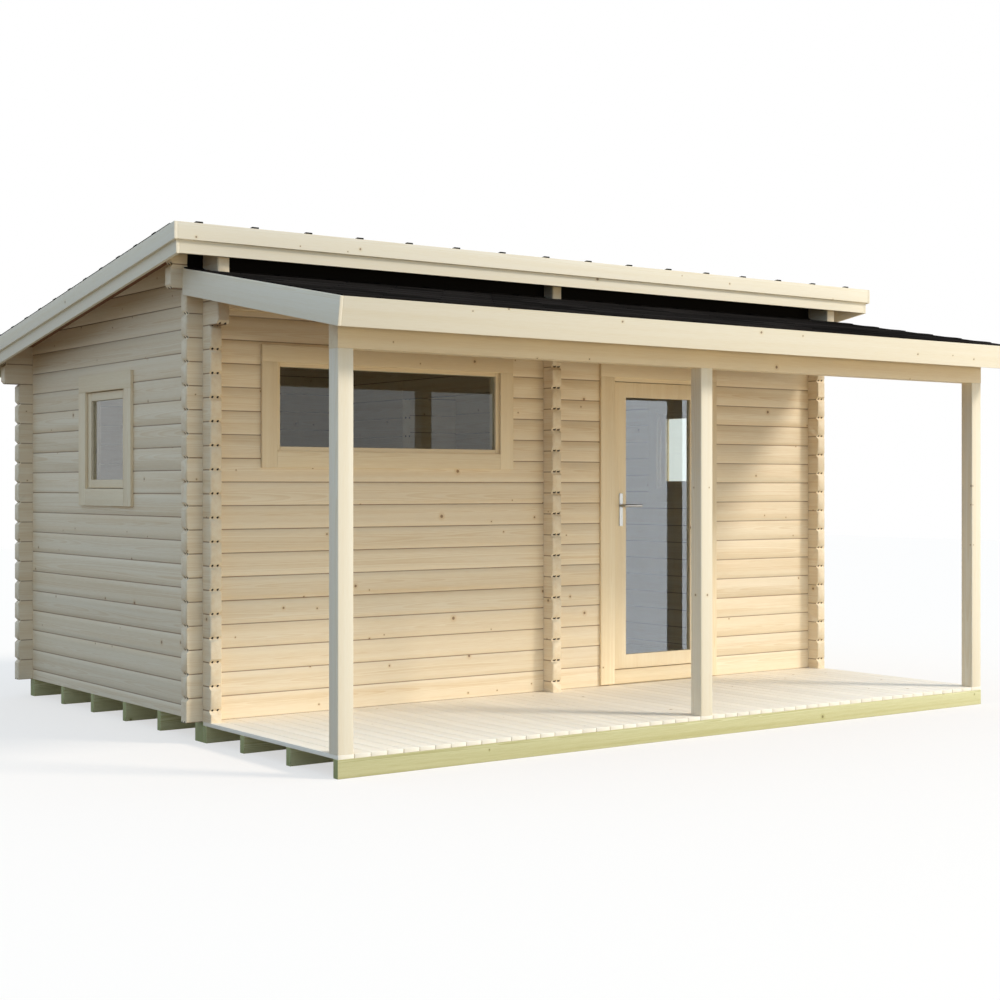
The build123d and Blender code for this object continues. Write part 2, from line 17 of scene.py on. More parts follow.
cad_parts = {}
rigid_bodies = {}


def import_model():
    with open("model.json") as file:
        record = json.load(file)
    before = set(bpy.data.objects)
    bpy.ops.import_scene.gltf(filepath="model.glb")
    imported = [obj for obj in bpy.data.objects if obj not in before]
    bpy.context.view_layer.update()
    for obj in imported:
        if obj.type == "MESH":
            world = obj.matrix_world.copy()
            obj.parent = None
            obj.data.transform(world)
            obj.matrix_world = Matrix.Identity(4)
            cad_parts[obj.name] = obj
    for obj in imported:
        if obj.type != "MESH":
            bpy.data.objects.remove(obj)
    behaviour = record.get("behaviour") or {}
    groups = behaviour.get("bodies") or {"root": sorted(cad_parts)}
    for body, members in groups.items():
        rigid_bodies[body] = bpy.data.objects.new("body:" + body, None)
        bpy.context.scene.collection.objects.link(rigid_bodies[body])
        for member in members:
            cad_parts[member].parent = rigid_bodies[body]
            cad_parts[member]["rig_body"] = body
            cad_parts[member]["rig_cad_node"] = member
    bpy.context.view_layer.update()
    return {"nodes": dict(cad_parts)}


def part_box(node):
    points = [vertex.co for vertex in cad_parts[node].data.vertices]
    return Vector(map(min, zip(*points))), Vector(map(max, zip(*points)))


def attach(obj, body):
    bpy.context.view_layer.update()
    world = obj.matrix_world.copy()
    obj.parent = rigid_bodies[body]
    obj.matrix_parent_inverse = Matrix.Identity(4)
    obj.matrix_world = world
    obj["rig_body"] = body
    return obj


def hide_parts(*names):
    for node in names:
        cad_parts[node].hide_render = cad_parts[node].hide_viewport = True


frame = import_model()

nodes = frame["nodes"]
bpy.ops.object.select_all(action="DESELECT")
MM = 0.001

# %% [markdown]
# ## Sizes read from the frame
# The logs, the deck and the wall faces lie where the nodes are. So a pattern that has to meet them,
# such as one figure for each log, is placed by reading the boxes of the nodes and not by typing
# numbers again.

# %% Sizes read from the frame
DECK_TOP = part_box("veranda_deck")[1].z
LOG = 134 * MM               # height of a log
WALL = 70 * MM               # thickness of a wall


def wall_middle(node, axis):
    """The middle of a wall's thickness along an axis."""
    low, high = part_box(node)
    return (low[axis] + high[axis]) / 2


FRONT_MIDDLE = wall_middle("front_wall_left", 1)
BACK_MIDDLE = wall_middle("back_wall", 1)
SIDE_MIDDLE = wall_middle("right_wall", 0)
print("deck top", round(DECK_TOP, 4), "wall middles", round(FRONT_MIDDLE, 4), round(BACK_MIDDLE, 4),
      round(SIDE_MIDDLE, 4))

# %% [markdown]
# ## Colours and nodes
# A paint chart gives colours as hex values, made for a screen. A shader works in linear light, so
# one function turns each value. Another adds one node with its settings and links, so that a
# material's recipe reads as a list of steps. A Mix node has its sockets once for each kind of value,
# under the same names, so its two colours are given by number, as 6 and 7, and taken as output 2.


# %% Colours and nodes
def colour(hex_value):
    """An sRGB hex value as linear RGBA."""
    channels = [int(hex_value[k:k + 2], 16) / 255 for k in (1, 3, 5)]
    return [c / 12.92 if c <= 0.04045 else ((c + 0.055) / 1.055) ** 2.4 for c in channels] + [1.0]


def add(tree, kind, *values, named=None, **settings):
    """One node. Values feed its inputs in order, and named ones by name or number: each is a
    constant, a socket, or a node, whose first output is taken."""
    made = tree.nodes.new("ShaderNode" + kind)
    for key, value in settings.items():
        setattr(made, key, value)
    for place, value in [*enumerate(values), *(named or {}).items()]:
        if isinstance(value, bpy.types.Node):
            value = value.outputs[0]
        if isinstance(value, bpy.types.NodeSocket):
            tree.links.new(value, made.inputs[place])
        else:
            made.inputs[place].default_value = value
    return made


def start_material(name, **shader):
    """A material with one Principled shader, and its values set on the shader's own sockets."""
    material = bpy.data.materials.new(name)
    material.use_nodes = True
    tree = material.node_tree
    tree.nodes.clear()
    sockets = {key.replace("_", " "): value for key, value in shader.items()}
    surface = add(tree, "BsdfPrincipled", named=sockets)
    add(tree, "OutputMaterial", surface)
    return material, surface, partial(add, tree)


def finish_surface(surface, base, bump):
    """Link a colour and a bump to a shader."""
    surface.id_data.links.new(base, surface.inputs["Base Color"])
    surface.id_data.links.new(bump.outputs[0], surface.inputs["Normal"])


print("white as linear", colour("#FFFFFF"))

# %% [markdown]
# ## A place in the tree
# A plank is a slice of a tree, so its figure is best drawn as the tree grew: rings round a pith, a
# few millimetres apart, cut by the plank's faces. The same rings then give long flames on a face,
# straight lines on an edge and arcs on an end. The alternative, stretched noise on each face, looks
# painted and breaks at the edges. The pattern needs a place in the tree for each point: along the
# trunk, and two ways across it. Boards carry it as an attribute, which is written when they are
# made. Log walls work it out in the material, because every log has the same height, and each log
# is a trunk of its own. Two walls that are parallel share a material, and wrapping the depth at
# their spacing brings each pith to its own wall. At a log's end two small holes show over each
# joint, where the tongues of the log below leave a little room, and the material paints shade into
# them.


# %% A place in the tree
HOLE_RADIUS = 6 * MM
HOLE_SPREAD = 16 * MM        # from the middle of the log to each hole
HOLE_RISE = 3 * MM           # of the hole's middle over the joint
HOLE_SHADE = 0.9             # share of the painted shade's dark colour in a hole
PITH_SHIFT = 50 * MM         # how far the piths of two logs may lie apart
LOG_SHIFT = 3.71             # metres along the trunk from one log's figure to the next


def place_in_logs(make, grain_axis, lift, middle, spacing):
    """Place in the trunk for walls of logs, from Object coordinates, a random number for each log,
    the height from the log's middle on its long faces, and the painted shade in the holes at its
    ends."""
    axes = make("SeparateXYZ", make("TexCoord").outputs["Object"]).outputs
    facing = make("SeparateXYZ", make("TexCoord").outputs["Normal"]).outputs[grain_axis]
    long_face = make("Math", make("Math", facing, operation="ABSOLUTE"), 0.5, operation="LESS_THAN")
    through = axes["Y" if grain_axis == "X" else "X"]
    deep = make("Math", through, middle, operation="SUBTRACT")
    deep = make("Math", deep, spacing / 2, -spacing / 2, operation="WRAP")
    rise = make("Math", axes["Z"], DECK_TOP - lift, operation="SUBTRACT")
    level = make("Math", rise, LOG, operation="DIVIDE")

    # the distance from the nearer of the two holes over each joint
    off = make("Math", make("Math", deep, operation="ABSOLUTE"), HOLE_SPREAD, operation="SUBTRACT")
    rise = make("Math", rise, HOLE_RISE, operation="SUBTRACT")
    rise = make("Math", rise, LOG / 2, -LOG / 2, operation="WRAP")
    reach = make("VectorMath", make("CombineXYZ", off, rise), operation="LENGTH").outputs["Value"]
    # painted shade in each hole: dark over the hole, fading out at its rim
    bore = make("MapRange", reach, HOLE_RADIUS + 1 * MM, HOLE_RADIUS, 0.0, HOLE_SHADE)

    # each log has a number, and with it a pith and a stretch of trunk of its own
    number = make("Math", level, operation="FLOOR")
    chance = make("TexWhiteNoise", named={"W": number}, noise_dimensions="1D").outputs["Color"]
    chances = make("SeparateXYZ", chance).outputs
    height = make("Math", make("Math", level, operation="FRACT"), 0.5, operation="SUBTRACT")
    height = make("Math", height, LOG, operation="MULTIPLY")
    pith = make("VectorMath", chance, (0.5, 0.5, 0.5), operation="SUBTRACT")
    pith = make("VectorMath", pith, (0, PITH_SHIFT, PITH_SHIFT), operation="MULTIPLY")
    pith = make("SeparateXYZ", pith).outputs
    along = make("Math", number, LOG_SHIFT, axes[grain_axis], operation="MULTIPLY_ADD")
    across = make("Math", height, pith[1], operation="ADD")
    deep = make("Math", deep, pith[2], operation="ADD")
    joint = make("Math", height, operation="ABSOLUTE")
    joint = make("Math", joint, long_face, operation="MULTIPLY")
    return make("CombineXYZ", along, across, deep), chances[0], joint, bore


def place_in_boards(make):
    """Place in the trunk for boards, and a number for each board, from the attributes they carry."""
    place = make("Attribute", attribute_name="trunk_place").outputs["Vector"]
    return place, make("Attribute", attribute_name="board_chance").outputs["Fac"], None, None


print("log height", LOG / MM, "mm")

# %% [markdown]
# ## Knots
# A knot is the foot of a branch that runs outwards through the plank. Spruce has many small ones,
# scattered without order, brown to nearly black, and the wood round them is a little more orange.
# So the knots are cells of a flat Voronoi pattern that is laid round the trunk, and about half of
# the cells hold one.

# %% Knots
KNOT_CELL = 260 * MM         # one knot, or none, in each cell of this size
SMALLEST_KNOT = 3.5 * MM     # radius
LARGEST_KNOT = 11 * MM
NO_KNOT = 0.01 * MM          # radius in an empty cell, so that nothing is divided by zero


def knots_of(make, place, chance, share):
    """The dark core and the wide halo of the knots, each from 0 to 1."""
    # each log or board takes its knots from another part of the pattern
    along, across, deep = make("SeparateXYZ", place).outputs
    side = make("Math", across, deep, operation="ADD")
    side = make("Math", chance, 7.0, side, operation="MULTIPLY_ADD")
    sheet = make("CombineXYZ", make("Math", along, KNOT_CELL, operation="DIVIDE"),
                 make("Math", side, KNOT_CELL, operation="DIVIDE"))
    cells = make("TexVoronoi", sheet, named={"Scale": 1.0}, voronoi_dimensions="2D").outputs

    # the third power of a random number makes most knots small
    luck = make("SeparateXYZ", cells["Color"]).outputs
    size = make("Math", luck[0], 3.0, operation="POWER")
    size = make("Math", size, LARGEST_KNOT - SMALLEST_KNOT, SMALLEST_KNOT, operation="MULTIPLY_ADD")
    held = make("Math", luck[1], share, operation="LESS_THAN")
    size = make("Math", size, held, operation="MULTIPLY")
    size = make("Math", size, NO_KNOT, operation="MAXIMUM")

    # the distance from the knot's middle, in units of its radius
    near = make("Math", cells["Distance"], KNOT_CELL, operation="MULTIPLY")
    near = make("Math", near, size, operation="DIVIDE")
    core = make("MapRange", near, 1.15, 0.7, interpolation_type="SMOOTHSTEP")
    return core, make("MapRange", near, 3.2, 0.9, interpolation_type="SMOOTHSTEP")


print("knots per square metre", round(0.55 / KNOT_CELL ** 2, 1))

# %% [markdown]
# ## Planed spruce
# Nordic spruce is nearly white when it is planed, with a yellow tone. Its late wood is a little
# darker, and at a distance the eye reads it as long, faint streaks. Planing leaves it a hair higher
# than early wood. The joint between two logs lies in shade and collects dust, and both are painted
# as a brown line.

# %% Planed spruce
RING = 4.2 * MM              # growth of one year in Nordic spruce
FIBRE = 2.0 * MM             # bundles of fibres are finer, drawn as coarse as the render can show
STREAK = 45 * MM             # width of the slow streaks, which run for metres
JOINT_LINE = 4.5 * MM        # half the height of the V between two logs
JOINT_SHADE = 0.7            # share of the brown line, painted shade and dust, in a joint
WANDER = 25 * MM             # how far a pith strays from a straight line
ROUND_KNOT = 6 * MM          # how far the rings bend round a knot
TONES = (0.95, 1.02)         # darkest and lightest log or board
HALO_SHARE = 0.45            # of late wood's colour round a knot
KNOT_SHARE = 0.75            # of the knot's colour in its core


def spruce(name, early, late, knot, place_of, rings=0.25, streaks=0.9, knots=0.55, end_grain=None):
    """Planed softwood. Place_of gives the place in the trunk, and a random number for each log or
    board. Rings and streaks say how much each of the two darkens the wood, and knots how many of the
    cells hold one."""
    material, surface, make = start_material(name, Roughness=0.6, IOR=1.45)
    place, chance, joint, bore = place_of(make)
    core, halo = knots_of(make, place, chance, knots)

    # the trunk's pith strays slowly, and the distance from it gives the year
    slow = make("VectorMath", place, (0.6, 4.0, 4.0), operation="MULTIPLY")
    slow = make("TexNoise", slow, named={"Scale": 1.0, "Detail": 0.0}).outputs["Color"]
    stray = make("VectorMath", slow, (0.5, 0.5, 0.5), operation="SUBTRACT")
    wander = (0.0, 2 * WANDER, 2 * WANDER)
    trunk = make("VectorMath", stray, wander, place, operation="MULTIPLY_ADD")
    trunk = make("VectorMath", trunk, (0.0, 1.0, 1.0), operation="MULTIPLY")
    radius = make("VectorMath", trunk, operation="LENGTH").outputs["Value"]
    radius = make("Math", halo, ROUND_KNOT, radius, operation="MULTIPLY_ADD")
    year = make("Math", make("Math", radius, RING, operation="DIVIDE"), operation="FRACT")
    growing = make("MapRange", year, 0.25, 0.9, interpolation_type="SMOOTHSTEP")
    winter = make("MapRange", year, 1.0, 0.94, interpolation_type="SMOOTHSTEP")
    latewood = make("Math", growing, winter, operation="MULTIPLY")

    # fibres and streaks are noise that is drawn out along the trunk
    fibre_scale = (0.03 / FIBRE, 1 / FIBRE, 1 / FIBRE)
    fibre = make("VectorMath", place, fibre_scale, operation="MULTIPLY")
    fibre = make("TexNoise", fibre, named={"Scale": 1.0, "Detail": 0.0})
    streak_scale = (0.012 / STREAK, 1 / STREAK, 1 / STREAK)
    streak = make("VectorMath", place, streak_scale, operation="MULTIPLY")
    streak = make("TexNoise", streak, named={"Scale": 1.0, "Detail": 2.0, "Roughness": 0.65})

    # the share of late wood's colour, less the noises' usual level, so that the mean stays
    share = make("Math", latewood, rings, -0.17 - 0.4 * streaks, operation="MULTIPLY_ADD")
    share = make("Math", fibre, 0.34, share, operation="MULTIPLY_ADD")
    share = make("Math", streak, streaks, share, operation="MULTIPLY_ADD")
    wood = make("Mix", named={0: share, 6: colour(early), 7: colour(late)}, data_type="RGBA")
    wood = wood.outputs[2]
    tone = make("MapRange", chance, 0.0, 1.0, *TONES)
    wood = make("HueSaturation", named={"Value": tone, "Color": wood}).outputs[0]
    halo = make("Math", halo, HALO_SHARE, operation="MULTIPLY")
    wood = make("Mix", named={0: halo, 6: wood, 7: colour(late)}, data_type="RGBA").outputs[2]
    core = make("Math", core, KNOT_SHARE, operation="MULTIPLY")
    wood = make("Mix", named={0: core, 6: wood, 7: colour(knot)}, data_type="RGBA").outputs[2]
    if end_grain:
        facing = make("SeparateXYZ", make("TexCoord").outputs["Normal"]).outputs[0]
        facing = make("Math", facing, operation="ABSOLUTE")
        cut = make("Math", facing, 0.7, operation="GREATER_THAN")
        wood = make("Mix", named={0: cut, 6: wood, 7: colour(end_grain)}, data_type="RGBA")
        wood = wood.outputs[2]
    if joint:
        # painted shade and dust: a brown line in the V of each joint
        line = make("MapRange", joint, LOG / 2 - JOINT_LINE, LOG / 2 - 0.3 * JOINT_LINE, 0.0,
                    JOINT_SHADE, interpolation_type="SMOOTHSTEP")
        wood = make("Mix", named={0: line, 6: wood, 7: colour("#7C5228")}, data_type="RGBA",
                    blend_type="MULTIPLY").outputs[2]
        # painted shade: the holes at the log ends are darkened nearly to black
        wood = make("Mix", named={0: bore, 6: wood, 7: colour("#1E120A")}, data_type="RGBA")
        wood = wood.outputs[2]
    height = make("Math", latewood, 0.6, fibre, operation="MULTIPLY_ADD")
    bump = make("Bump", named={"Strength": 0.25, "Distance": 0.3 * MM, "Height": height})
    finish_surface(surface, wood, bump)
    return material


print("ring", RING / MM, "mm, streak", STREAK / MM, "mm")

# %% [markdown]
# ## The woods of the building
# Logs, boards and joinery are all spruce, but joinery is picked for few knots, and deck boards are
# paler. The roof boards are brown. Bearers and joists are pine, pressure-treated, which
# turns it green.

# %% The woods of the building
KNOT = "#6B4426"
logs_front = partial(place_in_logs, grain_axis="X", lift=0.0, middle=FRONT_MIDDLE,
                     spacing=BACK_MIDDLE - FRONT_MIDDLE)
logs_side = partial(place_in_logs, grain_axis="Y", lift=LOG / 2, middle=0.0, spacing=SIDE_MIDDLE)
log_x = spruce("Planed spruce logs, front and back", "#EFDFC2", "#D3B07A", KNOT, logs_front)
log_y = spruce("Planed spruce logs, sides and partition", "#EFDFC2", "#D3B07A", KNOT, logs_side)
board = spruce("Planed spruce boards", "#F0E6D0", "#DFCA9E", KNOT, place_in_boards,
               streaks=0.7, knots=0.45)
joinery = spruce("Planed spruce joinery, knot-poor", "#F1DFBD", "#D8B884", KNOT, place_in_boards,
                 streaks=0.7, knots=0.35)
deck_wood = spruce("Planed spruce deck boards", "#FFF7E6", "#F4E8CD", "#9A7248", place_in_boards,
                   streaks=0.7, knots=0.3)
soffit = spruce("Spruce roof boards", "#8A5A33", "#5E3A1E", KNOT, place_in_boards)
treated = spruce("Pressure-treated pine", "#DDD8A8", "#AFA765", "#6B6030", place_in_boards,
                 rings=0.5, streaks=1.2, end_grain="#959A66")
print("wood materials", len(bpy.data.materials))

# %% [markdown]
# ## Select, copy and ease
# A piece that stands for a CAD node starts as a copy of it. The copy is merged and its flat
# triangles are joined to whole faces, because a bevel needs clean corners. Every planed board has
# its edges eased by a cutter, and that thin bright line is what makes it look like wood and not
# like paper.

# %% Select and copy
SAME_POINT = 0.02 * MM       # corners closer than this are one
FLAT_ANGLE = math.radians(0.5)
SHARP_ANGLE = math.radians(30)


def only(piece):
    """Select one object, and nothing else."""
    bpy.ops.object.select_all(action="DESELECT")
    piece.select_set(True)
    bpy.context.view_layer.objects.active = piece


def merged_copy(name, new_name):
    """A copy of a CAD node with its corners merged and its flat faces whole."""
    only(nodes[name])
    bpy.ops.object.duplicate()
    piece = bpy.context.active_object
    piece.name = new_name
    piece.data.name = new_name
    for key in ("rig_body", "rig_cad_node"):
        del piece[key]
    bpy.ops.object.parent_clear(type="CLEAR_KEEP_TRANSFORM")
    bpy.ops.object.mode_set(mode="EDIT")
    bpy.ops.mesh.select_all(action="SELECT")
    bpy.ops.mesh.remove_doubles(threshold=SAME_POINT)
    bpy.ops.mesh.dissolve_limited(angle_limit=FLAT_ANGLE)
    bpy.ops.object.mode_set(mode="OBJECT")
    return piece


def apply_last(piece):
    """Apply a piece's last modifier."""
    only(piece)
    bpy.ops.object.modifier_apply(modifier=piece.modifiers[-1].name)


def ease_edges(piece, width):
    """Round off every sharp edge."""
    only(piece)
    bpy.ops.object.shade_smooth()
    bevel = piece.modifiers.new("eased", "BEVEL")
    bevel.width = width
    bevel.segments = 2
    bevel.limit_method = "ANGLE"
    bevel.angle_limit = SHARP_ANGLE
    bevel.harden_normals = True
    apply_last(piece)


print("edges sharper than", round(math.degrees(SHARP_ANGLE)), "degrees are eased")


# %% Join and stand for a node
def joined(pieces, name):
    """One object made of many."""
    only(pieces[0])
    for part in pieces:
        part.select_set(True)
    bpy.ops.object.join()
    piece = bpy.context.active_object
    piece.name = name
    piece.data.name = name
    return piece


def stand_for(piece, node, material):
    """Let a piece stand for a CAD node: its material and its body, and the node is hidden."""
    piece.data.materials.clear()
    piece.data.materials.append(material)
    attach(piece, nodes[node]["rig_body"])
    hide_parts(node)


def finish_node(name, material):
    """Give a CAD node one material."""
    mesh = nodes[name].data
    mesh.materials.clear()
    mesh.materials.append(material)


print("nodes that can be stood for", len(nodes))

# %% [markdown]
# ## Log ends
# A log has two tongues along its top and two grooves along its underside, with a little room over
# each tongue. Along the wall nothing shows of them, but at a log's end that room is a pair of dark
# holes over the joint. The holes are bored with a Boolean, which is how a real hole comes about,
# and it keeps the wall's outline. A machine also rounds the upright edges of each log end. A bevel
# with a weight does that: the weight is set on the upright edges in the end's plane, and all the
# others stay as they are.

# %% Log tips
END_ROUND = 8 * MM
LEAST_LOG = 40 * MM          # what is left of a log under the roof gets holes from this height on


def log_tips(piece, axis, side):
    """How far out each log reaches on one side of a wall, by the level of the joint under it."""
    corners = [vertex.co for vertex in piece.data.vertices]
    top = max(corner.z for corner in corners)
    level = DECK_TOP + (LOG / 2 if axis == 1 else LOG)
    tips = {}
    while level < top - LEAST_LOG:
        reach = [side * corner[axis] for corner in corners
                 if 1 * MM < corner.z - level < LOG - 1 * MM]
        tips[level] = side * max(reach)
        level += LOG
    return tips


def round_ends(piece, axis, tips):
    """Round the upright edges that lie in the planes of the log ends."""
    only(piece)
    bpy.ops.object.shade_smooth_by_angle(angle=SHARP_ANGLE)
    mesh = piece.data
    weights = []
    for edge in mesh.edges:
        a, b = (mesh.vertices[k].co for k in edge.vertices)
        upright = abs((b - a).normalized().z) > 0.99
        weights.append(float(upright and any(abs(a[axis] - tip) < 0.05 * MM for tip in tips)))
    mesh.attributes.new("bevel_weight_edge", "FLOAT", "EDGE").data.foreach_set("value", weights)
    bevel = piece.modifiers.new("rounded", "BEVEL")
    bevel.width = END_ROUND
    bevel.segments = 3
    bevel.limit_method = "WEIGHT"
    bevel.harden_normals = True
    apply_last(piece)


print("end rounding", round(END_ROUND / MM), "mm")

# %% Bored holes
HOLE_DEPTH = 60 * MM
OUTSIDE = 5 * MM             # a cutter starts this far outside the log, so that it cuts a clean edge


def bore_holes(piece, axis, side, tips):
    """Bore a pair of holes over each joint into the log ends of one side."""
    across = [vertex.co[1 - axis] for vertex in piece.data.vertices]
    middle = (min(across) + max(across)) / 2
    turn = (math.pi / 2, 0, 0) if axis == 1 else (0, math.pi / 2, 0)
    bores = []
    for level, tip in tips.items():
        for offset in (-HOLE_SPREAD, HOLE_SPREAD):
            place = [middle + offset, middle + offset, level + HOLE_RISE]
            place[axis] = tip - side * (HOLE_DEPTH / 2 - OUTSIDE)
            bpy.ops.mesh.primitive_cylinder_add(vertices=12, radius=HOLE_RADIUS, depth=HOLE_DEPTH,
                                                location=place, rotation=turn)
            bores.append(bpy.context.active_object)
    cutter = joined(bores, "bores")
    boolean = piece.modifiers.new("bored", "BOOLEAN")
    boolean.operation = "DIFFERENCE"
    boolean.solver = "EXACT"
    boolean.object = cutter
    apply_last(piece)
    bpy.data.objects.remove(cutter)


print("holes", HOLE_RADIUS / MM, "mm in radius,", HOLE_DEPTH / MM, "mm deep")

# %% Every log wall
# each wall with the axis that it runs along, and its sides that have log ends
log_walls = {
    "front_wall_left": (0, (-1,)),
    "front_wall_right": (0, (1,)),
    "back_wall": (0, (-1, 1)),
    "left_wall": (1, (-1, 1)),
    "right_wall": (1, (-1, 1)),
    "partition_front": (1, (-1,)),
    "partition_rear": (1, (1,)),
}
for node, (axis, sides) in log_walls.items():
    wall = merged_copy(node, node + "_logs")
    tips = {side: log_tips(wall, axis, side) for side in sides}
    round_ends(wall, axis, {tip for side in sides for tip in tips[side].values()})
    for side in sides:
        bore_holes(wall, axis, side, tips[side])
    stand_for(wall, node, log_x if axis == 0 else log_y)
finish_node("front_wall_over_door", log_x)
finish_node("partition_over_doorway", log_y)

# %% [markdown]
# ## Loose boards with eased edges
# Each loose board of a mesh gets its own place in a trunk: the longest edge is the way that the
# grain runs, and a random shift says where in the tree it was sawn, so that no two boards have the
# same figure.


# %% Loose parts and their grain
def islands(mesh):
    """The loose parts of a mesh, as lists of vertex numbers."""
    work = bmesh.new()
    work.from_mesh(mesh)
    seen = set()
    found = []
    for vertex in work.verts:
        if vertex.index in seen:
            continue
        part, waiting = [], [vertex]
        seen.add(vertex.index)
        while waiting:
            here = waiting.pop()
            part.append(here.index)
            for edge in here.link_edges:
                other = edge.other_vert(here)
                if other.index not in seen:
                    seen.add(other.index)
                    waiting.append(other)
        found.append(part)
    work.free()
    return found


def give_grain(piece, seed):
    """Write each board's place in a trunk of its own, with the grain along its longest edge."""
    chance = random.Random(seed)
    mesh = piece.data
    edges_of = {}
    for edge in mesh.edges:
        edges_of.setdefault(edge.vertices[0], []).append(edge.vertices[1])
    places = [0.0] * (3 * len(mesh.vertices))
    numbers = [0.0] * len(mesh.vertices)
    for part in islands(mesh):
        runs = [mesh.vertices[b].co - mesh.vertices[a].co
                for a in part for b in edges_of.get(a, ())]
        along = max(runs, key=lambda run: run.length).normalized()
        guess = Vector((0, 0, 1)) if abs(along.z) < 0.8 else Vector((1, 0, 0))
        across = along.cross(guess).normalized()
        deep = along.cross(across)
        corners = [mesh.vertices[k].co for k in part]
        centre = sum(corners, Vector()) / len(corners)
        shift = Vector((chance.uniform(0, 90), chance.uniform(-60, 60) * MM,
                        chance.uniform(20, 90) * MM))
        number = chance.random()
        for k in part:
            point = mesh.vertices[k].co - centre
            place = Vector((point.dot(along), point.dot(across), point.dot(deep)))
            places[3 * k:3 * k + 3] = place + shift
            numbers[k] = number
    mesh.attributes.new("trunk_place", "FLOAT_VECTOR", "POINT").data.foreach_set("vector", places)
    mesh.attributes.new("board_chance", "FLOAT", "POINT").data.foreach_set("value", numbers)


print(wall.name, "loose parts", len(islands(wall.data)))

# %% Every loose board
EASE = 2.0 * MM              # planed boards
ROUGH_EASE = 2.5 * MM        # bearers and joists


def eased(node, material, width, change=None):
    """A piece with eased edges that stands for a CAD node."""
    piece = merged_copy(node, node + "_planed")
    if change:
        change(piece)
    ease_edges(piece, width)
    give_grain(piece, node)
    stand_for(piece, node, material)


edge_boards = [
    "veranda_posts", "veranda_fascia", "veranda_bargeboards", "main_front_fascia",
    "main_rear_fascia", "main_bargeboard_left", "main_bargeboard_right",
]
warm_boards = [
    "front_window_frame", "left_window_lining", "left_window_sash", "right_window_lining",
    "right_window_sash", "door_frame", "door_leaf", "veranda_beam", "veranda_ledger",
    "veranda_rafters",
]
for node in edge_boards:
    eased(node, board, EASE)
for node in warm_boards:
    eased(node, joinery, EASE)
for node in ("cabin_bearers", "veranda_joists"):
    eased(node, treated, ROUGH_EASE)
print("eased pieces", len(edge_boards) + len(warm_boards) + 2)

# %% [markdown]
# ## Casings
# The boards round a window are nailed over the joint between frame and logs. The head board lies
# over both uprights, so that no end grain faces up into the rain. The copy of the CAD casing is
# changed to that: the uprights are cut at the head's underside and the head is drawn out to their
# outer sides.


# %% Casings
def head_over_uprights(piece, axis):
    """Let the head board of each ring of casing boards run over its uprights."""
    mesh = piece.data
    spans = []
    for part in islands(mesh):
        corners = [mesh.vertices[k].co for k in part]
        span = [(min(c[k] for c in corners), max(c[k] for c in corners)) for k in range(3)]
        spans.append((part, span))
    middle = sum(sum(span[1 - axis]) / 2 for _, span in spans) / len(spans)
    for near in (True, False):
        ring = [(part, span) for part, span in spans
                if (sum(span[1 - axis]) / 2 < middle) == near]
        if len(ring) < 3:
            continue
        head, head_span = max(ring, key=lambda item: sum(item[1][2]))
        uprights = sorted(ring, key=lambda item: item[1][2][0] - item[1][2][1])[:2]
        low = min(span[axis][0] for _, span in uprights)
        high = max(span[axis][1] for _, span in uprights)
        for part, span in uprights:
            for k in part:
                if mesh.vertices[k].co.z > span[2][1] - 1 * MM:
                    mesh.vertices[k].co.z = head_span[2][0]
        for k in head:
            start = abs(mesh.vertices[k].co[axis] - head_span[axis][0]) < 1 * MM
            mesh.vertices[k].co[axis] = low if start else high
        print(piece.name, "head", round(low, 3), round(high, 3), "from", round(head_span[2][0], 3))


for node, axis in (("front_window_casing", 0), ("door_casing", 0), ("left_window_casing", 1),
                   ("right_window_casing", 1)):
    eased(node, joinery, EASE, partial(head_over_uprights, axis=axis))

# %% [markdown]
# ## Deck, floor and roof boards
# The CAD model has one slab for each deck, floor and roof. Here each slab is sawn: a copy is cut by
# pairs of parallel planes, and what is left between two cuts is one board, with its edges eased. A
# sawn slab keeps the slab's outline, and its notches round the log ends, which an array of new
# boards wouldn't.


# %% Deck, floor and roof boards
def cut_off(piece, point, outwards):
    """Cut away what lies beyond a plane, and close the cut."""
    only(piece)
    bpy.ops.object.mode_set(mode="EDIT")
    bpy.ops.mesh.select_all(action="SELECT")
    bpy.ops.mesh.bisect(plane_co=point, plane_no=outwards, use_fill=True, clear_outer=True)
    bpy.ops.object.mode_set(mode="OBJECT")


def sawn(node, material, way, pitch, gap, width):
    """Boards cut from a slab. Way is the direction across the boards, pitch is from one board to the
    next, and width is that of the eased edges."""
    slab = merged_copy(node, node + "_slab")
    way = Vector(way).normalized()
    reach = [vertex.co.dot(way) for vertex in slab.data.vertices]
    low, high = min(reach), max(reach)
    count = max(1, round((high - low) / pitch))
    step = (high - low) / count
    boards = []
    for k in range(count):
        only(slab)
        bpy.ops.object.duplicate()
        part = bpy.context.active_object
        cut_off(part, way * (low + k * step + gap / 2), -way)
        cut_off(part, way * (low + (k + 1) * step - gap / 2), way)
        boards.append(part)
    bpy.data.objects.remove(slab)
    piece = joined(boards, node + "_sawn")
    ease_edges(piece, width)
    give_grain(piece, node)
    stand_for(piece, node, material)
    print(piece.name, "boards", count, "step", round(step / MM, 1), "mm")


def slope_of(node):
    """The directions of a sloping slab: level across it, up the slope, and square to it."""
    faces = [face for face in nodes[node].data.polygons if face.normal.z > 0.5]
    square = max(faces, key=lambda face: face.area).normal.copy()
    up = Vector((-square.x * square.z, -square.y * square.z, square.x ** 2 + square.y ** 2))
    up.normalize()
    return up.cross(square), up, square


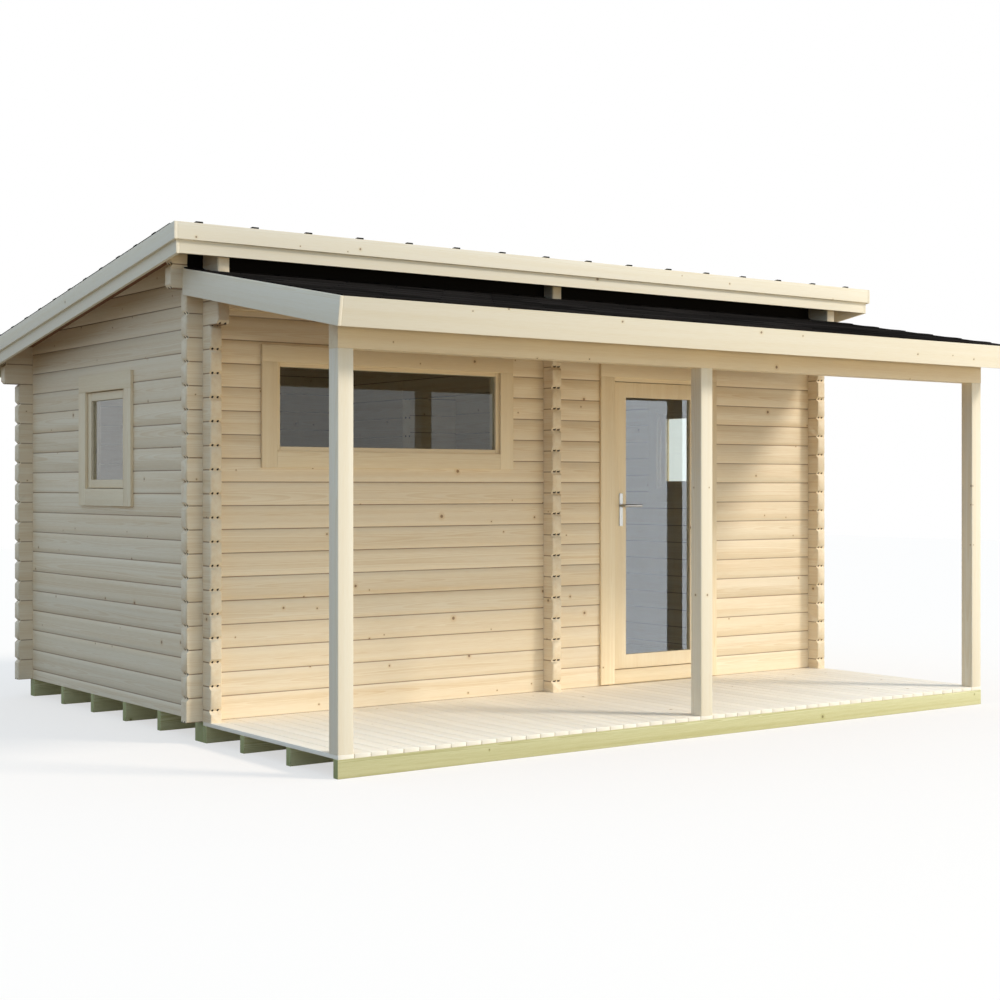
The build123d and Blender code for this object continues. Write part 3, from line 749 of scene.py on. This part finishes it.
ALONG_FRONT = (1, 0, 0)
UP_VERANDA = slope_of("veranda_roof_boards")[1]
DECK_GAP = 4 * MM            # rain runs off, and wet boards have room to swell
TIGHT_GAP = 0.6 * MM         # tongued boards close up
sawn("veranda_deck", deck_wood, ALONG_FRONT,
     pitch=94.5 * MM, gap=DECK_GAP, width=1.5 * MM)
sawn("floor_boards", board, ALONG_FRONT,
     pitch=95 * MM, gap=TIGHT_GAP, width=1.5 * MM)
sawn("main_roof_boards", soffit, ALONG_FRONT,
     pitch=90 * MM, gap=TIGHT_GAP, width=2.5 * MM)
sawn("veranda_roof_boards", soffit, UP_VERANDA,
     pitch=90 * MM, gap=TIGHT_GAP, width=2.5 * MM)

# %% [markdown]
# ## Bitumen shingles
# Shingles are strips of felt with crushed stone on them, so they are black, quite matt and rough.
# Each course covers the upper part of the one below, so its lower edge stands up, and slots part it
# into tabs. One tab is modelled: a thin sheet whose lower end is raised. Array modifiers lay it in
# courses, every second one shifted by half a tab, and the field is turned on to the slope. A
# Boolean then keeps what lies in the slab. Each tab has a tone of its own, because the strips come
# from different batches of stone.

# %% The felt
GRIT = 3.0 * MM              # real grit is about 1 mm, drawn coarser to show
felt, surface, make = start_material("Bitumen shingle, crushed slate", Roughness=1.0,
                                     Specular_IOR_Level=0.0)
place = make("TexCoord").outputs["Object"]
grit = make("TexNoise", place, named={"Scale": 1 / GRIT, "Detail": 1.0})
tone = make("Attribute", attribute_name="board_chance").outputs["Fac"]
tone = make("Math", tone, 0.5, operation="MULTIPLY")
share = make("Math", grit, 0.5, tone, operation="MULTIPLY_ADD")
share = make("MapRange", share, 0.2, 0.8)
stone = make("Mix", named={0: share, 6: colour("#171513"), 7: colour("#2C2825")}, data_type="RGBA")
bump = make("Bump", named={"Strength": 0.6, "Distance": 0.6 * MM, "Height": grit})
finish_surface(surface, stone.outputs[2], bump)
print(felt.name)

# %% One tab
TAB = 334 * MM               # width of a tab with its slot
SLOT = 6 * MM
COURSE = 252 * MM            # of each course that stays uncovered
RAISED = 50 * MM             # length of the lower end that stands up
ONE_LAYER = 3.8 * MM
TWO_LAYERS = 7.7 * MM        # just inside the CAD slab


def sheet_box(size):
    """A thin box with one corner at the origin."""
    size = Vector(size)
    bpy.ops.object.select_all(action="DESELECT")
    bpy.ops.mesh.primitive_cube_add(size=1, location=size / 2)
    piece = bpy.context.active_object
    piece.scale = size
    bpy.ops.object.transform_apply(location=True, rotation=False, scale=True)
    return piece


def one_tab():
    """A sheet with its lower end raised. The slope runs along Y."""
    tab = sheet_box((TAB - SLOT, COURSE - 0.5 * MM, ONE_LAYER))
    bpy.ops.object.mode_set(mode="EDIT")
    bpy.ops.mesh.select_mode(type="FACE")
    bpy.ops.mesh.select_all(action="SELECT")
    bpy.ops.mesh.bisect(plane_co=(0, RAISED, 0), plane_no=(0, 1, 0))
    bpy.ops.mesh.select_all(action="DESELECT")
    bpy.ops.object.mode_set(mode="OBJECT")
    for face in tab.data.polygons:
        face.select = face.normal.z > 0.5 and face.center.y < RAISED
    bpy.ops.object.mode_set(mode="EDIT")
    raised = {"value": (0, 0, TWO_LAYERS - ONE_LAYER)}
    bpy.ops.mesh.extrude_region_move(TRANSFORM_OT_translate=raised)
    bpy.ops.object.mode_set(mode="OBJECT")
    return tab


print("tab", TAB / MM, "by", COURSE / MM, "mm")

# %% Fields of tabs
LAP = (42 * MM, 90 * MM)     # where two strips overlap, they reach over the top edge
FIRST_TAB = TAB / 3          # of the first tab, how much is cut off at the side
BEDDED = 0.1 * MM            # tabs lie this far over the slab's underside
UNDER_SHEET = ONE_LAYER - 0.8 * MM   # it shows in the slots, a little below the tabs


def in_rows(piece, count, offset):
    """Lay copies of a piece in a row."""
    array = piece.modifiers.new("row", "ARRAY")
    array.count = count
    array.use_relative_offset = False
    array.use_constant_offset = True
    array.constant_offset_displace = offset
    apply_last(piece)


def shingled(node, side_edge, top_edge):
    """Courses of tabs over an under-sheet, in the place of a CAD slab. The field ends short of the
    slab's sides and of its top edge, over which only the laps reach."""
    across, up, square = slope_of(node)
    corners = [vertex.co for vertex in nodes[node].data.vertices]
    x0, y0, z0 = (min(corner.dot(axis) for corner in corners) for axis in (across, up, square))
    x1, y1, _ = (max(corner.dot(axis) for corner in corners) for axis in (across, up, square))
    columns = math.ceil((x1 - x0) / TAB) + 2
    rows = math.ceil((y1 - y0) / COURSE)

    tabs = one_tab()
    in_rows(tabs, columns, (TAB, 0, 0))
    only(tabs)
    bpy.ops.object.duplicate()
    shifted = bpy.context.active_object
    shifted.location = (-TAB / 2, COURSE, 0)
    tabs = joined([tabs, shifted], node + "_tabs")
    in_rows(tabs, math.ceil(rows / 2), (0, 2 * COURSE, 0))
    laps = sheet_box((*LAP, TWO_LAYERS))
    laps.location.y = y1 - y0 - LAP[1]
    in_rows(laps, columns, (TAB, 0, 0))

    slab = merged_copy(node, node + "_slab")
    if side_edge:
        cut_off(slab, across * (x1 - side_edge), across)
        cut_off(slab, across * (x0 + side_edge), -across)
    pieces = []
    turn = Matrix((across, up, square)).transposed().to_4x4()
    for field in (tabs, laps):
        only(field)
        bpy.ops.object.transform_apply(location=True, rotation=False, scale=False)
        field.matrix_world = turn @ Matrix.Translation((x0 - FIRST_TAB, y0, z0 + BEDDED))
        bpy.ops.object.transform_apply(location=True, rotation=True, scale=False)
        if field == tabs and top_edge:
            cut_off(field, up * (y1 - top_edge), up)
        kept = field.modifiers.new("kept", "BOOLEAN")
        kept.operation = "INTERSECT"
        kept.solver = "EXACT"
        kept.object = slab
        apply_last(field)
        pieces.append(field)
    cut_off(slab, square * (z0 + UNDER_SHEET), square)
    if top_edge:
        cut_off(slab, up * (y1 - top_edge), up)
    piece = joined([slab, *pieces], node + "_laid")
    give_grain(piece, node)
    stand_for(piece, node, felt)
    print(piece.name, "columns", columns, "rows", rows, "faces", len(piece.data.polygons))


shingled("veranda_shingles", side_edge=12 * MM, top_edge=0.0)
shingled("main_roof_shingles", side_edge=0.0, top_edge=62 * MM)

# %% [markdown]
# ## Felt turned up the wall, and painted shade between the roofs
# Where a lean-to roof meets a wall, its felt is turned up the wall to keep the rain out. Here the
# sheet runs on over all the logs between the two roofs, so that this narrow strip is black: its foot
# is the felt turned up the wall, and above that it is a painted shadow, for the deep shade under the
# upper roof. It is one thin sheet, whose top follows the underside of the upper roof's boards.

# %% Felt turned up the wall, and painted shade
FELT_THICK = 3 * MM
FELT_GAP = 0.5 * MM          # to the logs
FELT_TUCK = 6 * MM           # under the top of the shingles
FELT_INSET = 30 * MM         # from the sides of the veranda's shingles


def height_on(node, place, side):
    """How high a sloping slab's top or underside is over a place."""
    square = slope_of(node)[2]
    corners = [vertex.co.dot(square) for vertex in nodes[node].data.vertices]
    level = max(corners) if side == "top" else min(corners)
    return (level - place * square.y) / square.z


wall_face = FRONT_MIDDLE - WALL / 2
low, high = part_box("veranda_shingles")
bottom = height_on("veranda_shingles", wall_face, "top") - FELT_TUCK
top = height_on("main_roof_boards", wall_face, "underside") - 1 * MM
# black felt at its foot, and painted shade over the logs up to the roof boards
felt_and_shade_sheet = sheet_box((high.x - low.x - 2 * FELT_INSET, FELT_THICK, top - bottom))
felt_and_shade_sheet.location = (low.x + FELT_INSET, wall_face - FELT_THICK - FELT_GAP, bottom)
only(felt_and_shade_sheet)
bpy.ops.object.transform_apply(location=True, rotation=False, scale=False)
bpy.ops.object.mode_set(mode="EDIT")
bpy.ops.mesh.select_all(action="SELECT")
bpy.ops.mesh.bevel(offset=0.8 * MM, segments=2)
bpy.ops.object.mode_set(mode="OBJECT")
felt_and_shade_sheet.name = "felt_sheet_and_painted_shade"
felt_and_shade_sheet.data.materials.append(felt)
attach(felt_and_shade_sheet, nodes["veranda_shingles"]["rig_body"])
print("upstand from", round(bottom, 3), "to", round(top, 3), "wall face", round(wall_face, 4))

# %% [markdown]
# ## Glass and steel
# Window glass is clear with a faint green, and what makes it look like glass is the reflection of
# the beam and the posts. The door furniture is brushed stainless steel with a satin finish.

# %% Glass
glass, _, _ = start_material("Clear float glass", Roughness=0.0, IOR=1.52, Transmission_Weight=1.0,
                             Base_Color=colour("#EEF4F1"))
for node in ("front_window_glass", "left_window_glass", "right_window_glass", "door_glass"):
    finish_node(node, glass)
print(glass.name)

# %% Steel
BRUSH = 0.5 * MM             # spacing of the brush marks, drawn coarser than they are
steel, surface, make = start_material("Brushed stainless steel", Metallic=1.0, Roughness=0.34,
                                      Base_Color=colour("#AFADA6"))
brush_scale = (0.05 / BRUSH, 1 / BRUSH, 1 / BRUSH)
marks = make("VectorMath", make("TexCoord").outputs["Object"], brush_scale, operation="MULTIPLY")
marks = make("TexNoise", marks, named={"Scale": 1.0, "Detail": 2.0})
dull = make("MapRange", marks, 0.3, 0.7, 0.28, 0.4)
steel.node_tree.links.new(dull.outputs[0], surface.inputs["Roughness"])
bump = make("Bump", named={"Strength": 0.15, "Distance": 0.05 * MM, "Height": marks})
steel.node_tree.links.new(bump.outputs[0], surface.inputs["Normal"])
for node in ("door_handle_plates", "door_lever", "door_hinges_casing_side",
             "door_hinges_leaf_side"):
    finish_node(node, steel)
print(steel.name)

# %% [markdown]
# ## Floor and sky
# The picture has a white background. The camera sees a pale floor that keeps the building's shadow
# and fades into a white world, and glass and steel see white as well. For all other light the floor
# is darker and the sky is a soft blue, so that the undersides of the roofs stay as dark as they are
# over a lawn.

# %% Floor
bpy.ops.mesh.primitive_plane_add(size=60, location=(0, 0, 0))
floor = bpy.context.active_object
floor.name = "stage_floor"
floor_paint = bpy.data.materials.new("Matt white stage paint")
floor_paint.use_nodes = True
floor_paint.node_tree.nodes.clear()
make = partial(add, floor_paint.node_tree)
rays = make("LightPath").outputs
pale = make("BsdfDiffuse", colour("#FFF4E6"))
dark = make("BsdfDiffuse", colour("#817665"))
white = make("Emission", (1, 1, 1, 1), 1.0)
mirrored = make("Math", rays["Is Glossy Ray"], rays["Is Transmission Ray"], operation="MAXIMUM")
faint_shade = make("MixShader", 0.6, pale, white)
mixed = make("MixShader", rays["Is Camera Ray"], dark, faint_shade)
make("OutputMaterial", make("MixShader", mirrored, mixed, white))
floor.data.materials.append(floor_paint)
print(floor.name)

# %% Sky
world = bpy.data.worlds.new("studio")
bpy.context.scene.world = world
world.use_nodes = True
world.node_tree.nodes.clear()
make = partial(add, world.node_tree)
rays = make("LightPath").outputs
seen = make("Math", rays["Is Glossy Ray"], rays["Is Transmission Ray"], operation="MAXIMUM")
seen = make("Math", rays["Is Camera Ray"], seen, operation="MAXIMUM")
sky = make("Background", colour("#CCE4FF"), 0.9)
white = make("Background", (1, 1, 1, 1), 1.0)
make("OutputWorld", make("MixShader", seen, sky, white))
print(world.name)

# %% [markdown]
# ## Sun and panels
# One wide sun from the front right gives the soft shadow of the roof on the wall. Under the
# veranda's roof most light comes from the ground in front, so a wide warm panel stands low and far
# in front. A smaller card is mirrored by the door's glass, as the bright sky is on the real one:
# matt surfaces don't see that one.

# %% Sun
SUN_HEIGHT = math.radians(37)
SUN_SIDE = math.radians(42)      # to the right of the front
to_sun = Vector((math.sin(SUN_SIDE) * math.cos(SUN_HEIGHT),
                 -math.cos(SUN_SIDE) * math.cos(SUN_HEIGHT), math.sin(SUN_HEIGHT)))
bpy.ops.object.light_add(type="SUN", location=(3, -6, 8))
sun = bpy.context.active_object
sun.name = "sun"
sun.data.energy = 2.1
sun.data.angle = math.radians(12)
sun.data.color = colour("#FFF7EC")[:3]
sun.rotation_euler = to_sun.to_track_quat("Z", "Y").to_euler()
print("sun", [round(v, 3) for v in to_sun])


# %% Panels
def lit_panel(name, centre, size, brightness, hex_value):
    """A flat lamp that faces the building's front, as bright as a white surface times the
    brightness."""
    bpy.ops.object.light_add(type="AREA", location=centre, rotation=(math.radians(90), 0, 0))
    panel = bpy.context.active_object
    panel.name = name
    panel.data.shape = "RECTANGLE"
    panel.data.size, panel.data.size_y = size
    panel.data.energy = brightness * math.pi * size[0] * size[1]
    panel.data.color = colour(hex_value)[:3]
    panel.visible_camera = False
    return panel


card = lit_panel("card", centre=(2.95, -2.4, 1.15), size=(0.9, 2.3), brightness=2.6,
                 hex_value="#ECF4FF")
card.visible_diffuse = False
fill = lit_panel("fill", centre=(5.0, -12.0, 1.1), size=(14.0, 2.2), brightness=5.2,
                 hex_value="#FFEFC8")
fill.visible_glossy = False
fill.visible_transmission = False
print("card", round(card.data.energy), "W, fill", round(fill.data.energy), "W")

# %% [markdown]
# ## Camera
# The building's level edges run to two vanishing points, and those give the camera's direction and
# lens. It is held level, so posts stay upright in the picture, and a small shift frames the
# building instead of a tilt.

# %% Camera
LOOK = math.radians(37.11)       # from straight back towards the right
bpy.ops.object.camera_add(location=(-6.565, -8.865, 1.432),
                          rotation=(math.radians(90), 0, -LOOK))
camera = bpy.context.active_object
camera.data.lens = 61.68
camera.data.sensor_width = 36
camera.data.shift_x = -0.0668
camera.data.shift_y = -0.0136
bpy.context.scene.camera = camera
bpy.context.scene.view_settings.view_transform = "Standard"
print("lens", camera.data.lens, "mm, shift", round(camera.data.shift_x, 4))
